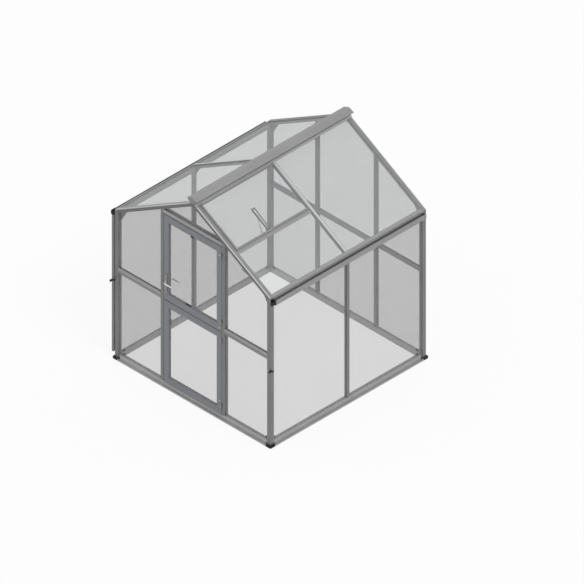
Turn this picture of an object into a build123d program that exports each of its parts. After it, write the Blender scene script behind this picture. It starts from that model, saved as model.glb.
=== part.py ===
from build123d import *
import os
from math import atan, cos, sin, tan

# Glass greenhouse with a two-part door. Millimetres, +Z up, origin on the ground at the plan centre.
# The door gable faces -Y and +X is to its right.

# House
frame_width = 2080.0
frame_depth = 2080.0
eaves_height = 1720.0
ridge_height = 2380.0
cap_rise = 60.0

# Glass and its rebates
pane_thick = 3.0
pane_play = 0.25
pane_bite = 8.0
rebate_depth = 10.0
wall_set = 16.0
roof_set = 6.0

# Bars
post_size = 45.0
bar_width = 34.0
bar_depth = 34.0
gable_bar_depth = 40.0
wall_thick = 2.0
groove_width = 4.0
groove_depth = 1.0

# Sill
sill_height = 58.0
sill_toe = 20.0
toe_height = 16.0
sill_ledge = 5.0
sill_upstand = 12.0
sill_shoulder = 44.0
sill_wall = 3.0
threshold_height = 42.0
foot_height = 18.0
foot_tab_length = 13.0
foot_tab_depth = 10.0
foot_tab_height = 14.0

# Door
door_opening = 782.0
door_post_width = 38.0
header_drop = 12.0
header_height = 36.0
header_depth = 57.0
side_gap = 5.0
head_gap = 8.0
foot_gap = 6.0
leaf_gap = 6.0
leaf_joint_z = 1010.0
leaf_depth = 30.0
stile_width = 65.0
leaf_rail = 75.0
upper_catch_x = -65.0
upper_catch_length = 70.0
upper_catch_depth = 12.0
upper_catch_height = 6.0
lower_catch_low = 735.0
lower_catch_length = 62.0
lower_catch_reach = 11.0
lower_catch_depth = 9.0

# Wall divisions
front_rail_z = 1028.0
front_rail_height = 60.0
front_rail_band = 24.0
front_rail_step = 3.0
back_rail_z = 1011.0
back_rail_height = 42.0
back_stud_x = 392.0
side_stud_y = 0.0

# Eave gussets
gusset_reach = 90.0
stud_gusset_reach = 60.0
gusset_tip = 14.0
gusset_round = 5.0
gusset_set = 26.0
gusset_thick = 3.0

# Hinges
barrel_radius = 6.0
barrel_stand = 6.5
knuckle_length = 20.0
knuckle_gap = 0.4
hinge_pin_radius = 3.0
pin_play = 0.15
hinge_plate_width = 22.0
hinge_plate_thick = 2.0
hinge_inset = 105.0

# Lever handle
handle_x = -352.0
spindle_z = 1230.0
plate_low_z = 1095.0
plate_high_z = 1315.0
plate_width = 34.0
plate_thick = 5.0
plate_round = 7.0
key_z = 1145.0
key_radius = 8.0
key_stand = 3.0
lever_stand = 42.0
lever_length = 110.0
lever_height = 13.0
lever_thick = 10.0
lever_bend = 24.0
lever_edge = 2.5
lever_gap = 1.0
collar_radius = 9.0
collar_length = 8.0
spindle_radius = 4.5
spindle_play = 0.5

# Ridge
ridge_box_half = 22.0
cap_half_width = 65.0
cap_drop = 27.0
cap_thick = 3.0
cap_lip = 6.0
ridge_flange_half = 45.0
ridge_neck_half = 14.0
ridge_box_roof = 12.0
ridge_overhang = 10.0
ridge_play = 1.0

# Eave beam and gutter
eave_beam_height = 65.0
eave_cover = 27.0
eave_shelf = 37.0
eave_nose = 52.0
eave_nose_top = 15.0
eave_nose_low = 17.0
eave_box_low = 19.0
eave_box_high = 22.0
gutter_reach = 37.0
gutter_wall = 2.0
gutter_round = 8.0
gutter_drop = 15.0
gutter_lip_drop = 20.0
gutter_hem = 4.0
gutter_hem_height = 5.0
gutter_front_short = 39.0
gutter_back_short = 30.0
outlet_reach = 40.0
outlet_proud = 15.0
outlet_height = 44.0
outlet_wall = 2.5
outlet_corner = 17.0
outlet_round = 6.0
plug_length = 12.0
plug_wall = 2.0
end_cap_set = 2.0
end_cap_thick = 4.0

# Downpipes
pipe_radius = 16.0
pipe_wall = 1.5
pipe_out = 22.5
pipe_in = 2.0
pipe_bottom_z = 75.0
spigot_play = 0.3
spigot_wall = 2.2
spigot_length = 25.0
clip_z = 900.0
clip_height = 16.0
clip_wall = 1.5
clip_play = 0.2
clip_foot = 24.0
clip_ear = 46.0
clip_ear_width = 12.0

# Vent and opener
vent_sill_x = 535.0
vent_sill_width = 32.0
vent_sill_depth = 32.0
vent_frame_width = 20.0
vent_frame_depth = 14.0
vent_play = 0.5
vent_lap = 10.0
vent_pane_set = 1.0
opener_y = -538.0
opener_set = 22.0
opener_length = 235.0
opener_tube_radius = 9.0
ferrule_radius = 10.5
ferrule_length = 12.0
opener_foot_gap = 8.0
piston_radius = 4.0
piston_out = 12.0
piston_eye = 14.0
link_thick = 3.0
link_width = 12.0
link_top_y = -508.0
link_foot_y = -517.0
elbow_width = 16.0
bolt_radius = 2.5
bolt_head_radius = 4.5
bolt_head = 2.5
bolt_play = 0.1
cheek_play = 0.5
cheek_length = 24.0
clamp_reach = 26.0
strut_radius = 3.0
strut_set = 24.0
strut_at = 142.0
strut_foot_y = -617.0
strut_foot_width = 30.0
band_wall = 3.0
band_length = 10.0

# Hook plate on the front gable bar
hook_in = 340.0
hook_drop = 8.0
hook_round = 19.0
hook_bore = 9.0
hook_tail = 80.0
hook_set = 4.0
hook_thick = 3.0

# Worked out from the sizes above
half_w = frame_width / 2
half_d = frame_depth / 2
inner_w = half_w - post_size
inner_d = half_d - post_size
roof_apex = ridge_height - cap_rise
roof_pitch = atan((roof_apex - eaves_height) / half_w)
pitch_cos = cos(roof_pitch)
pitch_sin = sin(roof_pitch)
pitch_tan = tan(roof_pitch)
bar_drop = gable_bar_depth / pitch_cos
pane_under = roof_set + pane_thick + pane_play
door_half = door_opening / 2
door_post_outer = door_half + door_post_width
header_top = eaves_height + (half_w - door_half) * pitch_tan - bar_drop - header_drop
header_low = header_top - header_height
leaf_left = -door_half + side_gap
leaf_right = door_half - side_gap
upper_low = leaf_joint_z + leaf_gap / 2
upper_high = header_low - head_gap
lower_low = threshold_height + foot_gap
lower_high = leaf_joint_z - leaf_gap / 2
hinge_x = door_half - side_gap / 2
hinge_y = -half_d - barrel_stand
slope_run = (half_w - ridge_box_half) / pitch_cos
eave_low = eaves_height - eave_beam_height
gutter_low = eave_low - gutter_drop
gutter_lip_z = eaves_height - gutter_lip_drop
outlet_low = gutter_lip_z - outlet_height
gutter_front_y = -half_d + gutter_front_short
gutter_back_y = half_d - gutter_back_short
hook_x = half_w - hook_in
vent_foot_s = (half_w - vent_sill_x) / pitch_cos + vent_sill_width / 2


def roof_z(x):
    """Height of the outer roof surface at a distance from the middle."""
    return eaves_height + (half_w - abs(x)) * pitch_tan


def slab(x0, x1, y0, y1, z0, z1):
    """Block between two corners."""
    return Pos((x0 + x1) / 2, (y0 + y1) / 2, (z0 + z1) / 2) * Box(x1 - x0, y1 - y0, z1 - z0)


def rect(u0, u1, d0, d1):
    """Rectangle between two corners in a section."""
    return Pos((u0 + u1) / 2, (d0 + d1) / 2) * Rectangle(u1 - u0, d1 - d0)


def outline(*points):
    """Face inside a closed outline."""
    return make_face(Polyline(*points, close=True))


def front_upright(x):
    """Section plane of an upright in the door gable: u to the right, depth inwards."""
    return Plane(origin=(x, -half_d, 0), x_dir=(1, 0, 0), z_dir=(0, 0, 1))


def front_level(z):
    """Section plane of a level bar in the door gable: u downwards, depth inwards."""
    return Plane(origin=(0, -half_d, z), x_dir=(0, 0, -1), z_dir=(1, 0, 0))


def side_upright(y):
    """Section plane of an upright in the right wall: u towards the back, depth inwards."""
    return Plane(origin=(half_w, y, 0), x_dir=(0, 1, 0), z_dir=(0, 0, 1))


# Right roof slope: u towards the back, depth below the surface, length up the slope from the eave.
roof = Plane(origin=(half_w, 0, eaves_height), x_dir=(0, 1, 0), z_dir=(-pitch_cos, 0, pitch_sin))


def slope_section(y):
    """Section plane across the right slope: depth below the surface, length up the slope."""
    return Plane(origin=(half_w, y, eaves_height), x_dir=roof.y_dir, z_dir=(0, 1, 0))


def on_roof(y0, y1, d0, d1, s0, s1):
    """Block in the right slope between two corners of its own directions."""
    block = Box(y1 - y0, d1 - d0, s1 - s0)
    return roof.location * Pos((y0 + y1) / 2, (d0 + d1) / 2, (s0 + s1) / 2) * block


def up_slope(x):
    """Length up the slope to a distance from the middle."""
    return (half_w - x) / pitch_cos


def left(part):
    """The same piece on the left side."""
    return mirror(part, about=Plane.YZ)


def back(part):
    """The same piece on the back side."""
    return mirror(part, about=Plane.XZ)


def bar_section(width, depth, pane_depth, sides):
    """Glazing bar: rebates for the panes at its sides, a box behind them, a groove in its face."""
    section = rect(-width / 2, width / 2, 0, depth)
    for side in sides:
        edge = side * width / 2
        inner = side * (width / 2 - rebate_depth)
        pane_back = pane_depth + pane_thick + pane_play
        section -= rect(min(edge, inner), max(edge, inner), pane_depth - pane_play, pane_back)
    box_top = pane_depth + pane_thick + pane_play + wall_thick
    section -= rect(-width / 2 + wall_thick, width / 2 - wall_thick, box_top, depth - wall_thick)
    section -= rect(-groove_width / 2, groove_width / 2, 0, groove_depth)
    return section


def corner_post():
    """Front right corner post, from its foot to the underside of the gable bar."""
    section = rect(inner_w, half_w, -half_d, -inner_d)
    gable_pane = -half_d + wall_set
    side_pane = half_w - wall_set
    back_set = pane_thick + pane_play
    section -= rect(inner_w, inner_w + rebate_depth, gable_pane - pane_play, gable_pane + back_set)
    section -= rect(side_pane - back_set, side_pane + pane_play, -inner_d - rebate_depth, -inner_d)
    groove_x = (inner_w + half_w) / 2
    groove_y = -(inner_d + half_d) / 2
    groove = groove_width / 2
    section -= rect(groove_x - groove, groove_x + groove, -half_d, -half_d + groove_depth)
    section -= rect(half_w - groove_depth, half_w, groove_y - groove, groove_y + groove)
    box = wall_set + back_set + wall_thick
    section -= rect(inner_w + wall_thick, half_w - box, -half_d + box, -inner_d - wall_thick)
    lip = wall_set - pane_play - wall_thick
    front = -half_d + wall_thick
    side = half_w - wall_thick
    section -= rect(inner_w + wall_thick, side, front, -half_d + lip)
    section -= rect(half_w - lip, side, front, -inner_d - wall_thick)
    post = extrude(Pos(0, 0, foot_height) * section, amount=ridge_height)
    return post & under_gable_bars()


def under_gable_bars():
    """Space below the gable bars, for cutting uprights to the slope."""
    apex = roof_z(0) - bar_drop
    edge = roof_z(half_w) - bar_drop
    shape = outline((-half_w, 0), (half_w, 0), (half_w, edge), (0, apex), (-half_w, edge))
    return extrude(Plane.XZ * shape, amount=half_d, both=True)


def corner_foot():
    """Black foot under the front right post, with a tab on each sill's toe."""
    foot = slab(inner_w, half_w + sill_toe, -half_d - sill_toe, -inner_d, 0, foot_height)
    outer_edge = foot.edges().filter_by(Axis.Z).sort_by(lambda e: e.center().X - e.center().Y)[-1]
    foot = chamfer(outer_edge, sill_toe / 2)
    half = foot_tab_depth / 2
    top = toe_height + foot_tab_height
    foot += slab(inner_w - foot_tab_length, inner_w, -half_d - half, -half_d + half, toe_height, top)
    return foot + slab(half_w - half, half_w + half, -inner_d, -inner_d + foot_tab_length, toe_height, top)


def sill_section():
    """Stepped sill, open below: toe, sloping ledge and upstand with the pane's rebate."""
    inside = post_size - wall_thick
    section = outline(
        (-sill_toe, 0), (-sill_toe, toe_height), (sill_ledge, toe_height), (sill_upstand, sill_shoulder),
        (sill_upstand, sill_height), (post_size, sill_height), (post_size, 0), (inside, 0),
        (inside, sill_height / 2), (sill_ledge, toe_height - sill_wall), (sill_ledge - sill_wall, 0),
    )
    pane_back = wall_set + pane_thick + pane_play
    return section - rect(wall_set - pane_play, pane_back, sill_height - rebate_depth, sill_height)


def gable_sill():
    """Sill under the door gable, before its doorway is cut."""
    plane = Plane(origin=(-inner_w, -half_d, 0), x_dir=(0, 1, 0), z_dir=(1, 0, 0))
    return extrude(plane * sill_section(), amount=2 * inner_w)


def front_sill():
    """Sill under the door gable, lowered to a threshold in the doorway."""
    return gable_sill() - slab(-door_half, door_half, -half_d, 0, threshold_height, 2 * sill_height)


def side_sill():
    """Sill under the right wall."""
    plane = Plane(origin=(half_w, -inner_d, 0), x_dir=(-1, 0, 0), z_dir=(0, 1, 0))
    return extrude(plane * sill_section(), amount=2 * inner_d)


def door_post():
    """Right door post, with the rebate for the side pane."""
    section = bar_section(door_post_width, post_size, wall_set, (1,))
    middle = door_half + door_post_width / 2
    post = extrude(front_upright(middle) * section, amount=ridge_height)
    return (post & under_gable_bars()) - slab(0, half_w, -half_d, 0, 0, sill_height)


def door_header():
    """Deep bar over the doorway, with the rebate for the pane above it."""
    middle = (header_top + header_low) / 2
    section = bar_section(header_height, header_depth, wall_set, (-1,))
    return extrude(front_level(middle) * Pos(0, 0, -door_half) * section, amount=door_opening)


def front_rail(x0, x1):
    """Level bar beside the door, with panes above and below and its face stepped back along the foot."""
    section = bar_section(front_rail_height, bar_depth, wall_set, (-1, 1))
    foot = front_rail_height / 2
    section -= rect(foot - front_rail_band, foot, 0, front_rail_step)
    return extrude(front_level(front_rail_z) * Pos(0, 0, x0) * section, amount=x1 - x0)


def back_rail(x0, x1):
    """Level bar of the back gable, drawn in the front plane."""
    section = bar_section(back_rail_height, bar_depth, wall_set, (-1, 1))
    return extrude(front_level(back_rail_z) * Pos(0, 0, x0) * section, amount=x1 - x0)


def gable_stud(x):
    """Upright of the back gable, drawn in the front plane."""
    section = bar_section(bar_width, bar_depth, wall_set, (-1, 1))
    stud = extrude(front_upright(x) * Pos(0, 0, sill_height) * section, amount=ridge_height)
    return stud & under_gable_bars()


def side_stud():
    """Upright in the right wall, from the sill to the eave beam."""
    section = bar_section(bar_width, bar_depth, wall_set, (-1, 1))
    plane = side_upright(side_stud_y) * Pos(0, 0, sill_height)
    return extrude(plane * section, amount=eave_low - sill_height)


def gable_bar():
    """Right half of the front gable's roof edge: the wall pane below it, the roof pane behind it."""
    near = -half_d
    far = -inner_d
    section = rect(near, far, 0, gable_bar_depth)
    section -= rect(far - rebate_depth, far, roof_set - pane_play, roof_set + pane_thick + pane_play)
    pane = near + wall_set
    pane_back = pane + pane_thick + pane_play
    section -= rect(pane - pane_play, pane_back, gable_bar_depth - rebate_depth, gable_bar_depth)
    section -= rect(near + wall_thick, pane - wall_thick, roof_set, gable_bar_depth - wall_thick)
    bar = extrude(roof * Pos(0, 0, -post_size) * section, amount=slope_run + 2 * post_size)
    return bar & slab(ridge_box_half, half_w, -half_d, 0, 0, ridge_height)


def rafter():
    """Middle bar of the right slope, from its seat on the eave beam to the ridge."""
    section = bar_section(bar_width, gable_bar_depth, roof_set, (-1, 1))
    bar = extrude(roof * Pos(side_stud_y, 0, -post_size) * section, amount=slope_run + 2 * post_size)
    bar &= slab(ridge_box_half, half_w, side_stud_y - bar_width, side_stud_y + bar_width, 0, ridge_height)
    return bar - extrude(Plane.XZ * eave_blank(), amount=inner_d, both=True)


def eave_blank():
    """Outer outline of the right eave beam: flange over the panes, shelf under them, nose inside."""
    seat = pane_under / pitch_cos
    cover_x = half_w - eave_cover
    step_x = cover_x - pane_under * pitch_sin
    shelf_x = half_w - eave_shelf
    nose_x = half_w - eave_nose
    return outline(
        (half_w, eave_low), (half_w, eaves_height), (cover_x, roof_z(cover_x)),
        (step_x, roof_z(step_x) - seat), (shelf_x, roof_z(shelf_x) - seat), (nose_x, eaves_height - eave_nose_top),
        (nose_x, eave_low + eave_nose_low), (nose_x + eave_nose_low, eave_low),
    )


def eave_beam():
    """Right eave beam with its gutter."""
    pane = half_w - wall_set
    body = eave_blank()
    body -= rect(pane - pane_thick - pane_play, pane + pane_play, eave_low, eave_low + rebate_depth)
    body -= rect(half_w - eave_nose + wall_thick, half_w - wall_thick, eave_low + eave_box_low,
                 eaves_height - eave_box_high)
    beam = extrude(Plane.XZ * body, amount=inner_d, both=True)
    beam -= on_roof(-half_d, half_d, roof_set - pane_play, pane_under,
                    up_slope(half_w - eave_cover + rebate_depth), 3 * post_size)
    side = half_w + gutter_reach
    trough = gutter_face(0, gutter_wall)
    trough += rect(side - gutter_hem, side, gutter_lip_z - gutter_hem_height, gutter_lip_z)
    return beam + along_gutter(trough, gutter_front_y, gutter_back_y)


def along_gutter(section, y0, y1):
    """Section of the gutter drawn out from one place along the wall to another."""
    return extrude(Plane.XZ.offset(-y1) * section, amount=y1 - y0)


def gutter_face(outer, inner):
    """Wall of a trough between two lines, set in from the gutter's outside."""
    return gutter_space(outer) - gutter_space(inner)


def gutter_space(inset):
    """Space inside a line of the gutter, up to its lip."""
    line = gutter_line(inset)
    return make_face(line + [Line(line[-1] @ 1, line[0] @ 0)])


def gutter_line(inset):
    """Line of the gutter's section, set in from its outside: down, along the floor, up to the lip."""
    low = gutter_low + inset
    start = half_w + inset
    side = half_w + gutter_reach - inset
    radius = gutter_round - inset
    inner = Line((start, gutter_lip_z), (start, low))
    base = Line((start, low), (side - radius, low))
    turn = RadiusArc((side - radius, low), (side, low + radius), -radius)
    wall = Line((side, low + radius), (side, gutter_lip_z))
    return [inner, base, turn, wall]


def ridge_beam():
    """Ridge: box between the rafters, flanges over the panes, raised cap above a narrow neck."""
    low = roof_z(ridge_box_half) - bar_drop
    shoulder = roof_z(ridge_box_half)
    section = outline((-ridge_box_half, low), (ridge_box_half, low), (ridge_box_half, shoulder),
                      (0, roof_z(0)), (-ridge_box_half, shoulder))
    section -= rect(-ridge_box_half + wall_thick, ridge_box_half - wall_thick, low + wall_thick,
                    shoulder - ridge_box_roof)
    box = extrude(Plane.XZ * section, amount=half_d, both=True)
    flange_low = roof_z(ridge_flange_half)
    flanges = outline((-ridge_flange_half, flange_low), (0, roof_z(0)), (ridge_flange_half, flange_low),
                      (ridge_flange_half, flange_low + cap_thick), (0, roof_z(0) + cap_thick),
                      (-ridge_flange_half, flange_low + cap_thick))
    lip = ridge_height - cap_drop
    neck = ridge_neck_half
    cap = outline((0, ridge_height), (cap_half_width, lip), (cap_half_width, lip - cap_lip),
                  (neck, roof_z(neck)), (-neck, roof_z(neck)),
                  (-cap_half_width, lip - cap_lip), (-cap_half_width, lip))
    inside = outline((0, ridge_height - 2 * cap_thick), (cap_half_width - 3 * cap_thick, lip - cap_lip),
                     (neck - cap_thick, roof_z(0) + cap_thick), (-neck + cap_thick, roof_z(0) + cap_thick),
                     (-cap_half_width + 3 * cap_thick, lip - cap_lip))
    over = extrude(Plane.XZ * (cap + flanges - inside), amount=half_d + ridge_overhang, both=True)
    return box + over


def gutter_cap():
    """Black cap inside the right gutter's back end."""
    y1 = gutter_back_y - end_cap_set
    cap = along_gutter(gutter_space(gutter_wall + pane_play), y1 - end_cap_thick, y1)
    return cap & slab(0, frame_width, 0, half_d, 0, gutter_lip_z - gutter_hem_height - pane_play)


def outlet():
    """Black front end of the right gutter: an open box over the pipe, plugged into the trough."""
    x, y = pipe_place()
    box = slab(half_w, half_w + outlet_reach, -half_d - outlet_proud, gutter_front_y, outlet_low, gutter_lip_z)
    uprights = box.edges().filter_by(Axis.Z).sort_by(lambda e: e.center().X + e.center().Y)
    box = chamfer(uprights[0], outlet_corner)
    levels = box.edges().filter_by(Axis.Y).sort_by(lambda e: e.center().X - e.center().Z)
    box = fillet(levels[-1], outlet_round)
    box = offset(box, amount=-outlet_wall, openings=box.faces().sort_by(Axis.Z)[-1])
    box += along_gutter(gutter_space(0), gutter_front_y - outlet_wall, gutter_front_y)
    inset = gutter_wall + pane_play
    plug = along_gutter(gutter_face(inset, inset + plug_wall), gutter_front_y, gutter_front_y + plug_length)
    box += plug & slab(0, frame_width, -half_d, 0, 0, gutter_lip_z - gutter_hem_height - pane_play)
    way = gutter_space(inset + plug_wall) & rect(0, frame_width, outlet_low + outlet_wall, gutter_lip_z)
    box -= along_gutter(way, gutter_front_y - outlet_wall, gutter_front_y)
    spigot = pipe_radius - pipe_wall - spigot_play
    box += Pos(x, y, outlet_low - spigot_length / 2) * Cylinder(spigot, spigot_length)
    return box - Pos(x, y, outlet_low) * Cylinder(spigot - spigot_wall, 2 * spigot_length)


def downpipe():
    """Right downpipe, pushed up over the spigot of the gutter's front end."""
    x, y = pipe_place()
    length = outlet_low - pipe_bottom_z
    pipe = Cylinder(pipe_radius, length) - Cylinder(pipe_radius - pipe_wall, length)
    return Pos(x, y, pipe_bottom_z + length / 2) * pipe


def pipe_place():
    """Plan position of the right downpipe, beside the post's outer face."""
    return half_w + pipe_out, -half_d + pipe_in


def pipe_clip():
    """Black clip round the right downpipe: ring, foot on the post and clamping ear to the front."""
    x, y = pipe_place()
    z1 = clip_height / 2
    clip = Cylinder(pipe_radius + clip_wall, clip_height)
    clip += slab(-pipe_out, 0, -clip_foot / 2, clip_foot / 2, -z1, z1)
    clip += slab(-clip_ear_width / 2, clip_ear_width / 2, -clip_ear, 0, -z1, z1)
    return Pos(x, y, clip_z) * (clip - Cylinder(pipe_radius + clip_play, clip_height))


def gusset_shape(x1, reach):
    """Triangle under the slope with cut and rounded tips; its upright side stands at x1."""
    x0 = x1 - reach
    z0 = roof_z(x0) - bar_drop
    z1 = roof_z(x1) - bar_drop
    foot = z1 - reach
    shape = outline((x1, z1), (x0, z0), (x0, z0 - gusset_tip), (x1 - gusset_tip, foot), (x1, foot))
    corners = shape.vertices().sort_by(Axis.Y)[:1] + shape.vertices().sort_by(Axis.X)[:1]
    return fillet(corners, gusset_round)


def corner_gusset():
    """Plate inside the front right corner, between the post and the gable bar."""
    plane = Plane.XZ.offset(half_d - gusset_set)
    return extrude(plane * gusset_shape(inner_w, gusset_reach), amount=-gusset_thick)


def stud_gusset():
    """Smaller plate between the right wall's upright and the rafter, cut out round the eave beam."""
    shape = gusset_shape(half_w - bar_depth, stud_gusset_reach)
    plate = extrude(Plane.XZ.offset(-side_stud_y) * shape, amount=gusset_thick / 2, both=True)
    return plate - extrude(Plane.XZ * eave_blank(), amount=inner_d, both=True)


def flat_pane(points, y0):
    """Pane of a gable: an outline in X and Z, from its outer face inwards."""
    return extrude(Plane.XZ.offset(-y0) * outline(*points), amount=-pane_thick)


def gable_pane(x0, x1, z0, z1=None):
    """Pane between two uprights, up to a level edge or to the slope."""
    y0 = -half_d + wall_set
    if z1:
        points = [(x0, z0), (x1, z0), (x1, z1), (x0, z1)]
        return flat_pane(points, y0)
    rise = pane_bite / pitch_cos
    points = [(x0, z0), (x1, z0), (x1, roof_z(x1) - bar_drop + rise)]
    if x0 < 0 < x1:
        top = roof_z(ridge_box_half) - bar_drop - pane_play
        side = ridge_box_half + ridge_play
        high = roof_z(side) - bar_drop + rise
        points += [(side, high), (side, top), (-side, top), (-side, high)]
    points.append((x0, roof_z(x0) - bar_drop + rise))
    return flat_pane(points, y0)


def front_panes():
    """Two panes each side of the door and one over it."""
    low = sill_height - pane_bite
    half = front_rail_height / 2 - pane_bite
    x0 = door_post_outer - pane_bite
    x1 = inner_w + pane_bite
    right = [gable_pane(x0, x1, low, front_rail_z - half), gable_pane(x0, x1, front_rail_z + half)]
    over = gable_pane(-door_half, door_half, header_top - pane_bite)
    return right + [left(p) for p in right] + [over]


def back_panes():
    """Three bays, each with a lower and an upper pane."""
    low = sill_height - pane_bite
    half = back_rail_height / 2 - pane_bite
    stud = back_stud_x - bar_width / 2 + pane_bite
    x0 = back_stud_x + bar_width / 2 - pane_bite
    x1 = inner_w + pane_bite
    right = [gable_pane(x0, x1, low, back_rail_z - half), gable_pane(x0, x1, back_rail_z + half)]
    middle = [gable_pane(-stud, stud, low, back_rail_z - half), gable_pane(-stud, stud, back_rail_z + half)]
    return [back(p) for p in right + [left(p) for p in right] + middle]


def side_panes():
    """Two panes of the right wall."""
    x1 = half_w - wall_set
    z0 = sill_height - pane_bite
    z1 = eaves_height - eave_beam_height + pane_bite
    reach = bar_width / 2 - pane_bite
    near = slab(x1 - pane_thick, x1, -inner_d - pane_bite, side_stud_y - reach, z0, z1)
    far = slab(x1 - pane_thick, x1, side_stud_y + reach, inner_d + pane_bite, z0, z1)
    return [near, far]


def roof_pane(y0, y1, x_low, x_high):
    """Pane of the right slope between two distances from the middle."""
    return on_roof(y0, y1, roof_set, roof_set + pane_thick, up_slope(x_low), up_slope(x_high))


def vent_sill():
    """Bar across the front bay of the right slope, below the vent."""
    low = vent_foot_s - vent_sill_width
    return on_roof(-inner_d, -bar_width / 2, pane_under, vent_sill_depth, low, vent_foot_s)


def vent_edges():
    """Corners of the vent on the slope: both sides, foot and head."""
    foot = vent_foot_s - vent_sill_width / 2 - vent_lap
    return -inner_d + vent_play, -bar_width / 2 - vent_play, foot, up_slope(ridge_flange_half) - vent_play


def vent_frame():
    """Thin frame round the vent's pane, lying on the vent's sill and between the bars."""
    y0, y1, s0, s1 = vent_edges()
    w = vent_frame_width
    d1 = roof_set - vent_play
    d0 = d1 - vent_frame_depth
    ring = on_roof(y0, y1, d0, d1, s0, s1)
    ring -= on_roof(y0 + w, y1 - w, d0, d1, s0 + w, s1 - w)
    return ring - vent_pane(pane_play)


def vent_pane(grow):
    """The vent's pane, or with a play the space it needs."""
    y0, y1, s0, s1 = vent_edges()
    inset = vent_frame_width - pane_bite - grow
    d0 = vent_pane_set
    return on_roof(y0 + inset, y1 - inset, d0 - grow, d0 + pane_thick + grow, s0 + inset, s1 - inset)


def on_slope(y, d, s):
    """Place in the right slope's directions."""
    return roof.location * Pos(y, d, s)


def rod_on_slope(start, end, radius):
    """Round rod between two places in the right slope's directions."""
    start = Vector(*start)
    run = Vector(*end) - start
    rod = Plane(origin=start, z_dir=run).location * Pos(0, 0, run.length / 2) * Cylinder(radius, run.length)
    return roof.location * rod


def bolt(y, s, d0, d1):
    """Hexagon bolt across the slope's plane, with its head above d0 and its nut below d1."""
    shank = on_slope(y, (d0 + d1) / 2, s) * Rot(90, 0, 0) * Cylinder(bolt_radius, d1 - d0)
    ends = [
        slope_section(y).location * Pos(d, s, 0) * Rot(0, 90, 0) * hexagon() for d in (d0 - bolt_head, d1)
    ]
    return shank + ends


def hexagon():
    """Bolt head or nut, standing on its own plane."""
    return extrude(RegularPolygon(bolt_head_radius, 6), amount=bolt_head)


def opener_tube():
    """Cylinder of the automatic opener with its two ferrules, and the piston with its eye."""
    s0 = vent_foot_s + opener_foot_gap
    s1 = s0 + opener_length
    tube = rod_on_slope((opener_y, opener_set, s0), (opener_y, opener_set, s1), opener_tube_radius)
    for s in (s0, s1 - ferrule_length):
        end = s + ferrule_length
        tube += rod_on_slope((opener_y, opener_set, s), (opener_y, opener_set, end), ferrule_radius)
    eye = s1 + piston_out
    tube += rod_on_slope((opener_y, opener_set, s1), (opener_y, opener_set, eye), piston_radius)
    half = piston_eye / 2
    d0 = opener_set - piston_radius
    d1 = opener_set + piston_radius
    tube += on_roof(opener_y - half, opener_y + half, d0, d1, eye - half, eye + half)
    tube -= rod_on_slope((opener_y, 0, eye), (opener_y, 2 * opener_set, eye), bolt_radius + bolt_play)
    return tube - clamp_bolt(bolt_play)


def clamp_bolt(grow):
    """Bolt that the opener's foot turns on, or with a play the hole for it."""
    y = ferrule_radius + cheek_play + link_thick
    s = vent_foot_s + opener_foot_gap + ferrule_length / 2
    return rod_on_slope((opener_y - y, opener_set, s), (opener_y + y, opener_set, s), bolt_radius + grow)


def opener_clamp():
    """Base plate on the vent's sill, with two cheeks and a bolt that hold the cylinder's foot."""
    d0 = pane_under + link_thick
    d1 = vent_sill_depth
    s0 = vent_foot_s
    plate = on_roof(opener_y - clamp_reach, link_foot_y + link_width, d0, d1, s0, s0 + link_thick)
    clear = ferrule_radius + cheek_play
    for side in (-1, 1):
        y0 = opener_y + side * clear
        y1 = opener_y + side * (clear + link_thick)
        plate += on_roof(min(y0, y1), max(y0, y1), d0, d1, s0, s0 + cheek_length)
    return plate + clamp_bolt(0)


def opener_link():
    """Flat arm beside the cylinder, from the base plate up to the elbow."""
    top_s = vent_foot_s + opener_foot_gap + opener_length + piston_out
    foot = Vector(link_foot_y, vent_foot_s + link_thick)
    top = Vector(link_top_y, top_s)
    half = link_width / 2
    d0 = opener_set - piston_radius - 2 * link_thick
    shape = make_hull(Edge.make_circle(half).moved(Location(top)).edges()
                      + Edge.make_line((foot.X - half, foot.Y), (foot.X + half, foot.Y)).edges())
    arm = extrude(Plane.XZ * shape, amount=-link_thick)
    arm = roof.location * Pos(0, d0, 0) * arm
    hole = Rot(90, 0, 0) * Cylinder(bolt_radius + bolt_play, 4 * link_thick)
    return arm - on_slope(top.X, d0, top.Y) * hole


def opener_elbow():
    """Plate under the arm's top and over the piston's eye, with the two bolts it turns on."""
    s = vent_foot_s + opener_foot_gap + opener_length + piston_out
    d1 = opener_set - piston_radius
    d0 = d1 - link_thick
    half = elbow_width / 2
    elbow = on_roof(opener_y - half, link_top_y + half, d0, d1, s - half, s + half)
    elbow += bolt(opener_y, s, d0, d1 + 2 * piston_radius)
    return elbow + bolt(link_top_y, s, d0 - link_thick, d1)


def opener_strut():
    """Band round the cylinder and a thin strut from it down to a foot plate on the vent's sill."""
    s = vent_foot_s + opener_foot_gap + strut_at
    inner = opener_tube_radius
    ends = (opener_y, opener_set, s - band_length / 2), (opener_y, opener_set, s + band_length / 2)
    top = (opener_y - inner - band_wall / 2, strut_set, s)
    foot = (strut_foot_y, strut_set, vent_foot_s)
    strut = rod_on_slope(*ends, inner + band_wall) + rod_on_slope(top, foot, strut_radius)
    strut &= on_roof(-inner_d, 0, 0, 2 * vent_sill_depth, vent_foot_s, 2 * slope_run)
    strut -= rod_on_slope((opener_y, opener_set, 0), (opener_y, opener_set, slope_run), inner + bolt_play)
    y0 = strut_foot_y - strut_foot_width / 2
    y1 = strut_foot_y + strut_foot_width / 2
    d0 = pane_under + link_thick
    return strut + on_roof(y0, y1, d0, vent_sill_depth, vent_foot_s, vent_foot_s + link_thick)


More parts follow.
